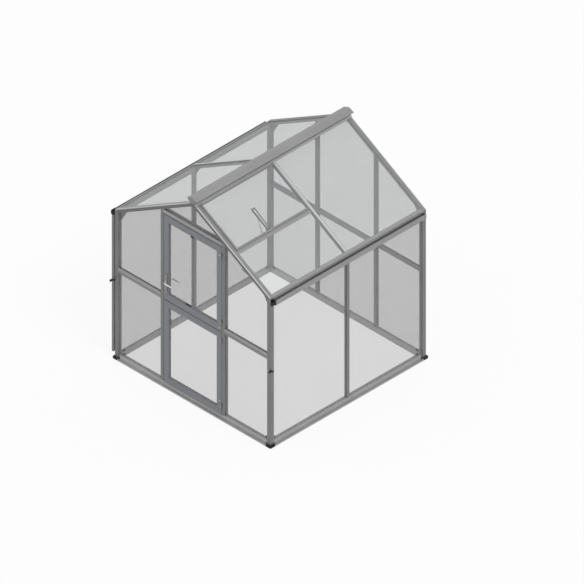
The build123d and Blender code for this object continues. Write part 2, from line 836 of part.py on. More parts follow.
def leaf_section(width):
    """Hollow bar of a door leaf: u across it, depth inwards; the pane's rebate is on its right."""
    edge = width / 2
    section = rect(-edge, edge, 0, leaf_depth)
    low = wall_set - pane_play
    high = wall_set + pane_thick + pane_play
    hollow = rect(-edge + wall_thick, edge - wall_thick, wall_thick, leaf_depth - wall_thick)
    hollow -= rect(edge - rebate_depth - wall_thick, edge, low - wall_thick, high + wall_thick)
    return section - rect(edge - rebate_depth, edge, low, high), hollow


def leaf_bar(plane, width, length):
    """Bar of a door leaf with closed ends."""
    section, hollow = leaf_section(width)
    bar = extrude(plane * section, amount=length)
    return bar - extrude(plane * Pos(0, 0, wall_thick) * hollow, amount=length - 2 * wall_thick)


def leaf_pane(z0, z1):
    """Pane of a leaf."""
    x0 = leaf_left + stile_width - pane_bite
    x1 = leaf_right - stile_width + pane_bite
    y0 = -half_d + wall_set
    return slab(x0, x1, y0, y0 + pane_thick, z0 + leaf_rail - pane_bite, z1 - leaf_rail + pane_bite)


def stiles(z0, z1):
    """Both stiles of a leaf: the latch's and the hinges'."""
    latch = leaf_bar(front_upright(leaf_left + stile_width / 2) * Pos(0, 0, z0), stile_width, z1 - z0)
    middle = leaf_right - stile_width / 2
    hinge = mirror(leaf_bar(front_upright(-middle) * Pos(0, 0, z0), stile_width, z1 - z0), about=Plane.YZ)
    return latch, hinge


def rails(z0, z1):
    """Both rails of a leaf, between its stiles."""
    x0 = leaf_left + stile_width
    length = leaf_right - stile_width - x0
    high = leaf_bar(front_level(z1 - leaf_rail / 2) * Pos(0, 0, x0), leaf_rail, length)
    low = leaf_bar(front_level(-z0 - leaf_rail / 2) * Pos(0, 0, x0), leaf_rail, length)
    return [mirror(low, about=Plane.XY), high]


def knuckle(z, length):
    """One knuckle of a hinge on the door's axis."""
    return Pos(hinge_x, hinge_y, z) * Cylinder(barrel_radius, length)


def hinge_heights():
    """Middles of the four hinges, two to a leaf."""
    upper = (upper_low + hinge_inset, upper_high - hinge_inset)
    lower = (lower_low + hinge_inset, lower_high - hinge_inset)
    return [upper, lower]


def fixed_hinge(z):
    """Hinge half on the door post: middle knuckle, pin and plate."""
    half = knuckle_length / 2
    pin = Pos(hinge_x, hinge_y, z) * Cylinder(hinge_pin_radius, 3 * knuckle_length)
    face = -half_d
    plate = slab(hinge_x, door_half + hinge_plate_width, face - hinge_plate_thick, face, z - half, z + half)
    return knuckle(z, knuckle_length) + pin + plate


def leaf_hinge(z):
    """Hinge half on a leaf: two knuckles and their plate."""
    length = knuckle_length - knuckle_gap
    offset = (knuckle_length + length) / 2 + knuckle_gap
    half = 1.5 * knuckle_length
    face = -half_d
    plate = slab(leaf_right - hinge_plate_width, leaf_right, face - hinge_plate_thick, face,
                 z - half, z + half)
    play = 2 * knuckle_gap
    swing = Pos(hinge_x, hinge_y, z) * Cylinder(barrel_radius + play, knuckle_length + play)
    half_hinge = plate - swing
    for side in (-1, 1):
        z_mid = z + side * offset
        ear = slab(leaf_right - knuckle_gap, hinge_x, face - hinge_plate_thick, face - knuckle_gap,
                   z_mid - length / 2, z_mid + length / 2)
        half_hinge += knuckle(z_mid, length) + ear
    return half_hinge - Pos(hinge_x, hinge_y, z) * Cylinder(hinge_pin_radius + pin_play, 4 * knuckle_length)


def lock_plate(face_y, outward):
    """Long plate behind one lever, with rounded corners and the boss of the key's cylinder."""
    y1 = face_y + outward * plate_thick
    plate = slab(handle_x - plate_width / 2, handle_x + plate_width / 2, min(face_y, y1), max(face_y, y1),
                 plate_low_z, plate_high_z)
    plate = fillet(plate.edges().filter_by(Axis.Y), plate_round)
    boss = Rot(90, 0, 0) * Cylinder(key_radius, key_stand)
    plate += Pos(handle_x, y1 + outward * key_stand / 2, key_z) * boss
    return plate - spindle(spindle_play)


def spindle(grow):
    """Round spindle through the latch stile, or the hole for it."""
    length = leaf_depth + 2 * (plate_thick + lever_gap + collar_length)
    middle_y = -half_d + leaf_depth / 2
    return Pos(handle_x, middle_y, spindle_z) * Rot(90, 0, 0) * Cylinder(spindle_radius + grow, length)


def lever(outward, face_y):
    """One lever: round collar, flat stem out of it, a bend and a bar towards the hinges."""
    half = lever_thick / 2
    foot = plate_thick + lever_gap
    turn = lever_stand - lever_bend
    inner = lever_bend - half
    outer = lever_bend + half
    shape = make_face([
        Line((-half, foot), (-half, turn)),
        RadiusArc((-half, turn), (lever_bend, turn + outer), outer),
        Line((lever_bend, turn + outer), (lever_length, turn + outer)),
        Line((lever_length, turn + outer), (lever_length, turn + inner)),
        Line((lever_length, turn + inner), (lever_bend, turn + inner)),
        RadiusArc((lever_bend, turn + inner), (half, turn), -inner),
        Line((half, turn), (half, foot)),
        Line((half, foot), (-half, foot)),
    ])
    bar = extrude(shape, amount=lever_height / 2, both=True)
    rim = bar.faces().sort_by(Axis.Z)[0].edges() + bar.faces().sort_by(Axis.Z)[-1].edges()
    bar = chamfer(rim, lever_edge)
    bar += Pos(0, foot + collar_length / 2, 0) * Rot(90, 0, 0) * Cylinder(collar_radius, collar_length)
    if outward < 0:
        bar = mirror(bar, about=Plane.XZ)
    return Pos(handle_x, face_y, spindle_z) * bar


def door_hook():
    """Eye plate under the front gable bar, with a tapering tail down the slope."""
    s = up_slope(hook_x)
    d = gable_bar_depth + hook_drop
    low = d + hook_round
    shape = Pos(d, s) * Circle(hook_round)
    shape += outline((gable_bar_depth, s + hook_round), (d, s + hook_round), (low, s),
                     (low - wall_thick, s - hook_round / 2), (gable_bar_depth, s - hook_tail))
    shape &= rect(gable_bar_depth, low, s - hook_tail, s + hook_round)
    shape -= Pos(d, s) * Circle(hook_bore)
    return extrude(slope_section(-half_d + hook_set) * shape, amount=hook_thick)


def upper_catch():
    """Black bolt on the ledge of the upper leaf's lower rail, in front of the pane."""
    z = upper_low + leaf_rail
    y = -half_d + wall_set / 2
    bar = slab(upper_catch_x - upper_catch_length / 2, upper_catch_x + upper_catch_length / 2,
               y - upper_catch_depth / 2, y + upper_catch_depth / 2, z, z + upper_catch_height)
    return chamfer(bar.faces().sort_by(Axis.Z)[-1].edges(), upper_catch_height / 4)


def lower_catch():
    """Black catch on the inner edge of the lower leaf's latch stile, behind the pane."""
    x = leaf_left + stile_width
    y1 = -half_d + leaf_depth
    bar = slab(x, x + lower_catch_reach, y1 - lower_catch_depth, y1, lower_catch_low,
               lower_catch_low + lower_catch_length)
    return chamfer(bar.faces().sort_by(Axis.X)[-1].edges(), lower_catch_depth / 4)


nodes = {
    "base_rail_front": front_sill(),
    "base_rail_back": back(gable_sill()),
    "base_rails_side": [side_sill(), left(side_sill())],
}

foot = corner_foot()
nodes["base_corner_feet"] = [foot, left(foot), back(foot), left(back(foot))]
post = corner_post()
nodes["corner_posts"] = [post, left(post), back(post), left(back(post))]
nodes["door_posts"] = [door_post(), left(door_post())]
nodes["door_header"] = door_header()
right_rail = front_rail(door_post_outer, inner_w)
nodes["front_mid_rails"] = [right_rail, left(right_rail)]
stud_edge = back_stud_x + bar_width / 2
side_rail = back_rail(stud_edge, inner_w)
inner_rail = back_rail(-back_stud_x + bar_width / 2, back_stud_x - bar_width / 2)
nodes["back_mid_rails"] = [back(side_rail), back(left(side_rail)), back(inner_rail)]
nodes["back_studs"] = [back(gable_stud(back_stud_x)), back(gable_stud(-back_stud_x))]
nodes["side_studs"] = [side_stud(), left(side_stud())]
beam = eave_beam()
nodes["eave_beams"] = [beam, left(beam)]
nodes["gutter_end_caps"] = [gutter_cap(), left(gutter_cap())]
bar = gable_bar()
nodes["gable_bars_front"] = [bar, left(bar)]
nodes["gable_bars_back"] = [back(bar), left(back(bar))]
nodes["rafters"] = [rafter(), left(rafter())]
nodes["ridge_beam"] = ridge_beam()
plate = corner_gusset()
small_plate = stud_gusset()
nodes["eave_gussets"] = [plate, left(plate), back(plate), left(back(plate)), small_plate, left(small_plate)]
nodes["downpipes"] = [downpipe(), left(downpipe())]
nodes["gutter_outlets"] = [outlet(), left(outlet())]
nodes["pipe_clips"] = [pipe_clip(), left(pipe_clip())]
nodes["front_glass"] = front_panes()
nodes["back_glass"] = back_panes()
panes = side_panes()
nodes["side_glass"] = panes + [left(p) for p in panes]

eave_x = half_w - eave_cover + pane_bite
ridge_x = ridge_box_half + (roof_set + pane_thick) * pitch_sin + ridge_play
y_gable = inner_d + pane_bite
y_rafter = bar_width / 2 - pane_bite
far_pane = roof_pane(y_rafter, y_gable, eave_x, ridge_x)
near_pane = roof_pane(-y_gable, -y_rafter, eave_x, ridge_x)
low_pane = roof_pane(-y_gable, -y_rafter, eave_x, vent_sill_x)
nodes["left_roof_glass"] = [left(far_pane), left(near_pane)]
nodes["right_roof_glass"] = [far_pane, low_pane]
nodes["vent_sill"] = vent_sill()
nodes["vent_frame"] = vent_frame()
nodes["vent_glass"] = vent_pane(0)
nodes["vent_opener"] = opener_tube()
nodes["vent_opener_arms"] = [opener_clamp(), opener_link(), opener_elbow(), opener_strut()]
nodes["door_hook"] = door_hook()

upper_hinges, lower_hinges = hinge_heights()
nodes["post_hinges"] = [fixed_hinge(z) for z in upper_hinges + lower_hinges]
latch_stile, hinge_stile = stiles(upper_low, upper_high)
nodes["upper_door_stiles"] = [latch_stile - spindle(spindle_play), hinge_stile]
nodes["upper_door_rails"] = rails(upper_low, upper_high)
nodes["upper_door_glass"] = leaf_pane(upper_low, upper_high)
nodes["upper_door_hinges"] = [leaf_hinge(z) for z in upper_hinges]
outer_face = -half_d
inner_face = -half_d + leaf_depth
nodes["lock_plates"] = [lock_plate(outer_face, -1), lock_plate(inner_face, 1)]
nodes["door_handle"] = lever(-1, outer_face) + spindle(0) + lever(1, inner_face)
nodes["upper_door_catch"] = upper_catch()
nodes["lower_door_stiles"] = list(stiles(lower_low, lower_high))
nodes["lower_door_rails"] = rails(lower_low, lower_high)
nodes["lower_door_glass"] = leaf_pane(lower_low, lower_high)
nodes["lower_door_catch"] = lower_catch()
nodes["lower_door_hinges"] = [leaf_hinge(z) for z in lower_hinges]

os.makedirs("parts", exist_ok=True)
for name, shape in nodes.items():
    pieces = shape if isinstance(shape, list) else [shape]
    solids = [solid for piece in pieces for solid in piece.solids()]
    export_step(Compound(children=solids), f"parts/{name}.step")
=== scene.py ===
import math

import bmesh
import bpy
from mathutils import Matrix, Vector


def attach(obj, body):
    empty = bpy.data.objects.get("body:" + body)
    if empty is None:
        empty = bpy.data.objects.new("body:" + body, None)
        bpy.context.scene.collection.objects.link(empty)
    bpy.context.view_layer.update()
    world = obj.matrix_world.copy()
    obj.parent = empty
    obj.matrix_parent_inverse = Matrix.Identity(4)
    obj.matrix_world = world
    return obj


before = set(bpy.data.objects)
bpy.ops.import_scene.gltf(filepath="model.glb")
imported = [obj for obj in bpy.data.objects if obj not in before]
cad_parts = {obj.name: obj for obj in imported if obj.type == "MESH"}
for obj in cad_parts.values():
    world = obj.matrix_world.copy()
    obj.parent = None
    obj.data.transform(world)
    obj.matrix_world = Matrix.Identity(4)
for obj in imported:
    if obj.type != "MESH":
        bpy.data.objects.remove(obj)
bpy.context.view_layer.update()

# Dressing of the glass greenhouse, in metres: finishes, small fittings, floor, light and camera.

# Drawing's view: a true isometric one, 584 pixels wide
VIEW_TURN = math.radians(45)
VIEW_TILT = math.radians(35.264)
VIEW_WIDTH = 5.525
VIEW_RIGHT = 0.2039
VIEW_UP = 0.6216
VIEW_DISTANCE = 12.0

# House, as the CAD parts have it
HALF = 1.040
INNER = 0.995
SILL_TOP = 0.058
EAVE_LOW = 1.655
EAVE = 1.720
ROOF_TILT = math.radians(29.98)
GABLE_BAR_DROP = 0.04618
COVER_X = 1.013
FLANGE_X = 0.045
RIDGE_BOX_X = 0.022
MID_BAR = 0.017
FRONT_POST_X = 0.429
DOOR_X = 0.391
HEADER_TOP = 2.0362
BACK_STUD = (0.375, 0.409)

# Underside and top of the rails half way up the gables
FRONT_RAIL = (0.998, 1.058)
BACK_RAIL = (0.990, 1.032)

# Panes: thickness, how deep their outer sides lie, and the openings of the leaves
PANE_THICK = 0.003
WALL_PANE_DEPTH = 0.016
ROOF_PANE_DEPTH = 0.006
VENT_PANE_DEPTH = 0.001
LEAF_GLASS_X = 0.321
LEAF_GLASS = {"upper": (1.088, 1.9172), "lower": (0.123, 0.932)}

# Vent: its glass across and up the slope, and where the pane below it ends
VENT_GLASS = (-0.9745, -0.0375, 0.593, 1.128)
BELOW_VENT = 0.573

# Fittings
GASKET = {"width": 0.003, "height": 0.0024, "edge": 0.0008}
PLATE_SCREW = 0.0036
HINGE_HEIGHTS = {"upper": (1.118, 1.887), "lower": (0.153, 0.902)}
RIVET_HEIGHTS = {"upper": (1.884, 1.043), "lower": (0.2005,)}

# Light: levels, where the lamps stand, and how wide they are in degrees
SKY_LEVEL = 0.72
KEY_LEVEL = 1.15
KEY_FROM = (1.0, -0.15, 1.3)
KEY_SPREAD = 25
FILL_LEVEL = 0.25
FILL_FROM = (-0.4, -1.0, 1.0)
FILL_SPREAD = 60
FLOOR_GLOW = 0.88


class Wire:
    """Output of a node; sums written with it become Math nodes."""

    def __init__(self, finish, socket):
        self.finish = finish
        self.socket = socket

    def maths(self, operation, *values):
        return self.finish.node("ShaderNodeMath", {"operation": operation}, dict(enumerate(values)))

    def __add__(self, other):
        return self.maths("ADD", self, other)

    def __radd__(self, other):
        return self.maths("ADD", other, self)

    def __mul__(self, other):
        return self.maths("MULTIPLY", self, other)

    def __rmul__(self, other):
        return self.maths("MULTIPLY", other, self)

    def __abs__(self):
        return self.maths("ABSOLUTE", self)


class Finish:
    """A material, or the world's light, and the nodes in it."""

    def __init__(self, owner):
        owner.use_nodes = True
        self.owner = owner
        self.tree = owner.node_tree
        self.tree.nodes.clear()

    def node(self, kind, settings=None, sockets=None, out=0):
        """Adds a node: first its settings, then the values or links of its sockets."""
        made = self.tree.nodes.new(kind)
        for name, value in (settings or {}).items():
            if name == "stops":
                self.set_stops(made.color_ramp, value)
            else:
                setattr(made, name, value)
        for key, value in (sockets or {}).items():
            if isinstance(value, Wire):
                self.tree.links.new(value.socket, made.inputs[key])
            else:
                made.inputs[key].default_value = value
        return Wire(self, made.outputs[out]) if made.outputs else made

    def set_stops(self, ramp, stops):
        """Gives a ramp its stops: pairs of a place and a grey level."""
        while len(ramp.elements) < len(stops):
            ramp.elements.new(1.0)
        for element, (place, level) in zip(ramp.elements, stops):
            element.position = place
            element.color = (level, level, level, 1)

    def place(self):
        """Place on the object, in metres."""
        return self.node("ShaderNodeTexCoord", out="Object")

    def axes(self):
        """The place's three numbers."""
        place = self.place()
        return [self.node("ShaderNodeSeparateXYZ", None, {0: place}, axis) for axis in "XYZ"]

    def point(self, x, y, z):
        return self.node("ShaderNodeCombineXYZ", None, {"X": x, "Y": y, "Z": z})

    def noise(self, where, scale, detail, roughness):
        sockets = {"Vector": where, "Scale": scale, "Detail": detail, "Roughness": roughness}
        return self.node("ShaderNodeTexNoise", None, sockets, "Fac")

    def ramp(self, value, *stops):
        return self.node("ShaderNodeValToRGB", {"stops": stops}, {"Fac": value}, "Color")

    def tint(self, factor, first, second):
        """Colour between two colours."""
        sockets = {0: factor, 6: (*first, 1), 7: (*second, 1)}
        return self.node("ShaderNodeMix", {"data_type": "RGBA"}, sockets, 2)

    def bump(self, height, depth, strength):
        sockets = {"Strength": strength, "Distance": depth, "Height": height}
        return self.node("ShaderNodeBump", None, sockets, "Normal")

    def surface(self, **sockets):
        """Closes the material with one shader, whose sockets are given by name."""
        named = {name.replace("_", " "): value for name, value in sockets.items()}
        shader = self.node("ShaderNodeBsdfPrincipled", None, named)
        self.node("ShaderNodeOutputMaterial", None, {"Surface": shader})
        return self.owner


def grey(level):
    """Colour of one level."""
    return (level, level, level)


def veil(level, green):
    """Pale colour of a pane, with less red where it is greener."""
    return (level * (1 - green), level, level)


def along_bar(finish, direction):
    """Place with the bar's own length squeezed, for lines that run along it."""
    x, y, z = finish.axes()
    squeeze = 0.02
    if direction == "X":
        return finish.point(x * squeeze, y, z)
    if direction == "Y":
        return finish.point(x, y * squeeze, z)
    if direction == "Z":
        return finish.point(x, y, z * squeeze)
    side = abs(x)
    up = side * -math.cos(ROOF_TILT) + z * math.sin(ROOF_TILT)
    out = side * math.sin(ROOF_TILT) + z * math.cos(ROOF_TILT)
    return finish.point(up * squeeze, y, out)


def aluminium(name, direction, level=0.235):
    """Mill aluminium with the fine lines of its die, a dull film and small rubbed patches."""
    finish = Finish(bpy.data.materials.new(name))
    lines = finish.noise(along_bar(finish, direction), 900.0, 3.0, 0.6)
    film = finish.noise(finish.place(), 3.2, 4.0, 0.55)
    speck = finish.noise(finish.place(), 140.0, 2.0, 0.5)
    mottle = finish.ramp(film * 0.7 + speck * 0.3, (0.3, 0.0), (0.7, 1.0))
    colour = finish.tint(mottle, grey(level * 0.9), grey(level * 1.1))
    roughness = 0.36 + film * 0.14 + lines * 0.06
    normal = finish.bump(lines, 0.00006, 0.5)
    return finish.surface(Base_Color=colour, Roughness=roughness, Metallic=0.55, Normal=normal)


def powder_coat(name):
    """Blue-grey powder coat with a fine pebbled skin."""
    finish = Finish(bpy.data.materials.new(name))
    peel = finish.noise(finish.place(), 650.0, 2.0, 0.5)
    film = finish.noise(finish.place(), 4.0, 3.0, 0.5)
    colour = finish.tint(film, (0.165, 0.172, 0.186), (0.195, 0.203, 0.218))
    normal = finish.bump(peel, 0.00008, 0.6)
    return finish.surface(Base_Color=colour, Roughness=0.42 + film * 0.1, Metallic=0.15, Normal=normal)


def black_plastic(name):
    """Moulded black plastic with a spark-eroded grain."""
    finish = Finish(bpy.data.materials.new(name))
    grain = finish.noise(finish.place(), 1100.0, 2.0, 0.6)
    dust = finish.noise(finish.place(), 35.0, 3.0, 0.55)
    colour = finish.tint(dust, grey(0.009), grey(0.022))
    normal = finish.bump(grain, 0.00007, 0.7)
    roughness = 0.55 + grain * 0.15
    return finish.surface(Base_Color=colour, Roughness=roughness, Normal=normal, Specular_IOR_Level=0.2)


def bright_metal(name, direction, level):
    """Brushed zinc and steel of the fittings."""
    finish = Finish(bpy.data.materials.new(name))
    brush = finish.noise(along_bar(finish, direction), 1500.0, 3.0, 0.65)
    film = finish.noise(finish.place(), 30.0, 3.0, 0.5)
    colour = finish.tint(film, grey(level * 0.88), grey(level * 1.08))
    roughness = 0.24 + brush * 0.12 + film * 0.06
    normal = finish.bump(brush, 0.00004, 0.5)
    return finish.surface(Base_Color=colour, Roughness=roughness, Metallic=0.9, Normal=normal)


def glass(name, level, green):
    """Clear pane as the drawing shows it: a light veil with a trace of dust, greener in the roof; the
    roof's lighter veil is painted light.
    """
    finish = Finish(bpy.data.materials.new(name))
    smear = finish.noise(finish.place(), 2.3, 4.0, 0.6)
    dust = finish.noise(finish.place(), 30.0, 3.0, 0.6)
    colour = finish.tint(smear, veil(level * 0.98, green), veil(level * 1.06, green))
    alpha = 0.215 + smear * 0.03 + dust * 0.01
    roughness = 0.06 + smear * 0.05
    made = finish.surface(Base_Color=colour, Roughness=roughness, Alpha=alpha, Specular_IOR_Level=0.35)
    made.surface_render_method = "BLENDED"
    return made


def rubber(name):
    """Dull glazing rubber in a light grey, which paints light into the shaded recesses round the panes."""
    finish = Finish(bpy.data.materials.new(name))
    bloom = finish.noise(finish.place(), 55.0, 3.0, 0.6)
    grain = finish.noise(finish.place(), 1300.0, 2.0, 0.6)
    # Light grey, painted light in the recesses round the panes; the bloom varies it at random.
    colour = finish.tint(bloom, grey(0.27), grey(0.33))
    normal = finish.bump(grain, 0.00006, 0.6)
    return finish.surface(Base_Color=colour, Roughness=0.62 + grain * 0.15, Normal=normal)


finishes = {
    "rubber": rubber("glazing_rubber"),
    # Lighter copy of the aluminium, painted light, for the strips that paint highlights and light over
    # shade; the vent's knuckles share it.
    "strip": aluminium("aluminium_painted_light_strip", "slope", 0.5),
    "post": aluminium("aluminium_upright", "Z", 0.205),
    "cross": aluminium("aluminium_cross", "X"),
    "deep": aluminium("aluminium_lengthwise", "Y", 0.28),
    # The sills' copies are lighter than the plain aluminium, painted light that lifts the shade low on the
    # sills.
    "sill_cross": aluminium("aluminium_sill_cross", "X", 0.38),
    "sill_deep": aluminium("aluminium_sill_lengthwise", "Y", 0.36),
    # Lighter copy of the aluminium, painted light over the shaded recesses that the front's cover strips
    # hide.
    "painted_light_cover": aluminium("aluminium_painted_light_cover", "X", 0.31),
    # Pale copy of the aluminium, painted light on the eaves' faces inside the gutters, where shade falls.
    "painted_light_sheet": aluminium("aluminium_painted_light_sheet", "Y", 0.52),
    # Darker copy of the aluminium, painted shade on the gable bars' faces and the ridge box's ends.
    "painted_shade": aluminium("aluminium_painted_shade", "slope", 0.14),
    "arm": aluminium("aluminium_arm", "Z", 0.09),
    "plate": bright_metal("dull_plate", "Z", 0.24),
    # Polished metal made near white, partly its own brightness and partly a painted highlight on the
    # lever's ends.
    "polished_painted_highlight": bright_metal("polished_lever_painted_highlight", "X", 0.8),
    "slope": aluminium("aluminium_slope", "slope"),
    "door": powder_coat("door_coat"),
    "plastic": black_plastic("black_plastic"),
    "fitting": bright_metal("bright_fittings", "Z", 0.5),
    "pane": glass("wall_pane", 0.3, 0.0),
    # The roof's veil is lighter than the walls', painted light on the slopes that face the sky; its green
    # tint is the glass's own.
    "roof_pane_painted_light": glass("roof_pane_painted_light", 0.43, 0.06),
}

# What each node is made of, by the first of these words that its name holds
NODE_FINISHES = [
    ("roof_glass", "roof_pane_painted_light"),
    ("vent_glass", "roof_pane_painted_light"),
    ("glass", "pane"),
    ("hinges", "plate"),
    ("handle", "polished_painted_highlight"),
    ("lock_plates", "plate"),
    ("hook", "plate"),
    ("opener", "arm"),
    ("feet", "plastic"),
    ("end_caps", "plastic"),
    ("outlets", "plastic"),
    ("clips", "plastic"),
    ("catch", "plastic"),
    ("door_stiles", "door"),
    ("door_rails", "door"),
    ("rails_side", "sill_deep"),
    ("base_rail", "sill_cross"),
    ("eave_beams", "deep"),
    ("ridge", "deep"),
    ("gable_bars", "slope"),
    ("rafters", "slope"),
    ("vent_frame", "slope"),
    ("vent_sill", "deep"),
    ("rail", "cross"),
    ("header", "cross"),
    ("gussets", "cross"),
    ("", "post"),
]


def dress(name, node):
    """Gives a node the finish that its name asks for."""
    for word, finish in NODE_FINISHES:
        if word in name:
            node.data.materials.clear()
            node.data.materials.append(finishes[finish])
            return


for name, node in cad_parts.items():
    dress(name, node)


class Shape:
    """Closed forms gathered into one mesh."""

    def __init__(self):
        self.mesh = bmesh.new()

    def put(self, other, *places):
        """Adds a copy of another shape at every place, and lets that shape go."""
        for place in places:
            copy = bpy.data.meshes.new("copy")
            other.mesh.to_mesh(copy)
            copy.transform(place)
            self.mesh.from_mesh(copy)
            bpy.data.meshes.remove(copy)
        other.mesh.free()
        return self

    def bevel(self, edges, width, segments):
        bmesh.ops.bevel(
            self.mesh, geom=edges, offset=width, offset_type="OFFSET", affect="EDGES",
            segments=segments, profile=0.5, material=-1,
        )
        return self

    def block(self, low, high, edge):
        """Block between two corners, with its edges rounded."""
        low, high = Vector(low), Vector(high)
        matrix = Matrix.Translation((low + high) / 2) @ Matrix.Diagonal((*(high - low), 1))
        made = bmesh.ops.create_cube(self.mesh, size=1.0, matrix=matrix)
        edges = list({line for corner in made["verts"] for line in corner.link_edges})
        return self.bevel(edges, edge, 2)

    def lathe(self, profile, steps=16):
        """Turns a line of pairs, radius and height, about the third axis."""
        points = [self.mesh.verts.new((radius, 0, height)) for radius, height in profile]
        lines = [self.mesh.edges.new(pair) for pair in zip(points, points[1:])]
        bmesh.ops.spin(
            self.mesh, geom=points + lines, cent=(0, 0, 0), axis=(0, 0, 1), angle=math.tau,
            steps=steps, use_merge=True,
        )
        bmesh.ops.remove_doubles(self.mesh, verts=self.mesh.verts[:], dist=1e-6)
        return self

    def face(self, corners, height):
        """Level face through a few corners."""
        face = self.mesh.faces.new([self.mesh.verts.new((*corner, height)) for corner in corners])
        face.normal_update()
        return face

    def draw_out(self, faces, length):
        """Draws level faces up into closed solids, and gives the new faces and edges."""
        drawn = bmesh.ops.extrude_face_region(self.mesh, geom=faces)["geom"]
        tops, edges, corners = [
            [item for item in drawn if isinstance(item, kind)]
            for kind in (bmesh.types.BMFace, bmesh.types.BMEdge, bmesh.types.BMVert)
        ]
        bmesh.ops.translate(self.mesh, verts=corners, vec=(0, 0, length))
        return tops, edges

    def ring(self, corners, width, height, edge):
        """Mitred frame just inside a flat outline, with the rims of its top bevelled."""
        face = self.face(corners, 0)
        band = bmesh.ops.inset_region(
            self.mesh, faces=[face], thickness=width, use_boundary=True, use_even_offset=True,
        )["faces"]
        bmesh.ops.delete(self.mesh, geom=[face], context="FACES_ONLY")
        tops, edges = self.draw_out(band, height)
        rims = [line for line in edges if sum(side in tops for side in line.link_faces) == 1]
        return self.bevel(rims, edge, 1)

    def prism(self, section, low, high):
        """Section drawn out along the third axis."""
        self.draw_out([self.face(section, low)], high - low)
        return self

    def piece(self, name, finish, body="house"):
        """Makes the shape a piece of the scene that rides on a body."""
        bmesh.ops.recalc_face_normals(self.mesh, faces=self.mesh.faces[:])
        data = bpy.data.meshes.new(name)
        self.mesh.to_mesh(data)
        self.mesh.free()
        data.materials.append(finishes[finish])
        made = bpy.data.objects.new(name, data)
        bpy.context.scene.collection.objects.link(made)
        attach(made, body)


def spread(name, finish, part, places, body="house"):
    """One piece that holds the same part at every place."""
    Shape().put(part, *places).piece(name, finish, body)


def plane(origin, across, up):
    """Place and turn of a flat face: across it, up it and out of it."""
    out = Vector(across).cross(Vector(up))
    return Matrix.Translation(origin) @ Matrix((across, up, out)).transposed().to_4x4()


def at(face, across, up, out=0.0):
    """Place on a face."""
    return face @ Matrix.Translation((across, up, out))


def both_sides(place):
    """The same place on the right and on the left."""
    return [place, LEFT @ place]


def both_ends(place):
    """The same place at the front and at the back."""
    return [place, REAR @ place]


def box(x0, x1, y0, y1):
    """Corners of an upright opening."""
    return [(x0, y0), (x1, y0), (x1, y1), (x0, y1)]


def roof_z(x):
    """Height of the roof's surface at a distance from the middle."""
    return EAVE + (HALF - abs(x)) * math.tan(ROOF_TILT)


def bar_z(x):
    """Height of the gable bars' underside."""
    return roof_z(x) - GABLE_BAR_DROP


def up_slope(x):
    """Length up the slope from the eave to a distance from the middle."""
    return (HALF - x) / math.cos(ROOF_TILT)


LEFT = Matrix.Diagonal((-1, 1, 1, 1))
REAR = Matrix.Diagonal((1, -1, 1, 1))
INWARDS = Matrix.Diagonal((1, 1, -1, 1))
CORNERS = [Matrix(), LEFT, REAR, LEFT @ REAR]

# Faces: across and up each wall, and across and up the right slope
FRONT_FACE = plane((0, -HALF, 0), (1, 0, 0), (0, 0, 1))
RIGHT_FACE = plane((HALF, 0, 0), (0, 1, 0), (0, 0, 1))
SLOPE_FACE = plane((HALF, 0, EAVE), (0, 1, 0), (-math.cos(ROOF_TILT), 0, math.sin(ROOF_TILT)))

# Place of a section on the right slope, across it and out of it, that is drawn out up the slope
UP_THE_SLOPE = SLOPE_FACE @ plane((0, 0, 0), (1, 0, 0), (0, 0, 1)) @ INWARDS

# Outer sides of the panes
FRONT_PANES = at(FRONT_FACE, 0, 0, -WALL_PANE_DEPTH)
BACK_PANES = REAR @ FRONT_PANES
RIGHT_PANES = at(RIGHT_FACE, 0, 0, -WALL_PANE_DEPTH)
ROOF_PANES = at(SLOPE_FACE, 0, 0, -ROOF_PANE_DEPTH)
VENT_PANE = at(SLOPE_FACE, 0, 0, -VENT_PANE_DEPTH)
FRONT_BAY = (-INNER, -MID_BAR)
BACK_BAY = (MID_BAR, INNER)


def gaskets(name, panes, body="house"):
    """Rubber outside and inside, round panes that each have a place and corners."""
    shape = Shape()
    for place, corners in panes:
        shape.put(Shape().ring(corners, **GASKET), place, at(place, 0, 0, -PANE_THICK) @ INWARDS)
    shape.piece(name, "rubber", body)


def gable_bays(near, rail):
    """Openings of a gable between an upright and the corner post: below the rail and up to the slope."""
    low, high = rail
    return [
        box(near, INNER, SILL_TOP, low),
        [(near, high), (INNER, high), (INNER, bar_z(INNER)), (near, bar_z(near))],
    ]


def gable_middle(half, low):
    """Opening under the ridge."""
    side = RIDGE_BOX_X
    top = bar_z(side)
    return [(-half, low), (half, low), (half, bar_z(half)), (side, top), (-side, top), (-half, bar_z(half))]


def wall_gaskets():
    """Rubber of the front, the back and the side walls."""
    bays = gable_bays(FRONT_POST_X, FRONT_RAIL)
    panes = [(side, corners) for side in both_sides(FRONT_PANES) for corners in bays]
    panes.append((FRONT_PANES, gable_middle(DOOR_X, HEADER_TOP)))
    gaskets("front_gaskets", panes)
    inner, outer = BACK_STUD
    low, high = BACK_RAIL
    bays = gable_bays(outer, BACK_RAIL)
    panes = [(side, corners) for side in both_sides(BACK_PANES) for corners in bays]
    panes.append((BACK_PANES, box(-inner, inner, SILL_TOP, low)))
    panes.append((BACK_PANES, gable_middle(inner, high)))
    gaskets("back_gaskets", panes)
    bays = [box(*bay, SILL_TOP, EAVE_LOW) for bay in (FRONT_BAY, BACK_BAY)]
    gaskets("side_gaskets", [(side, corners) for corners in bays for side in both_sides(RIGHT_PANES)])


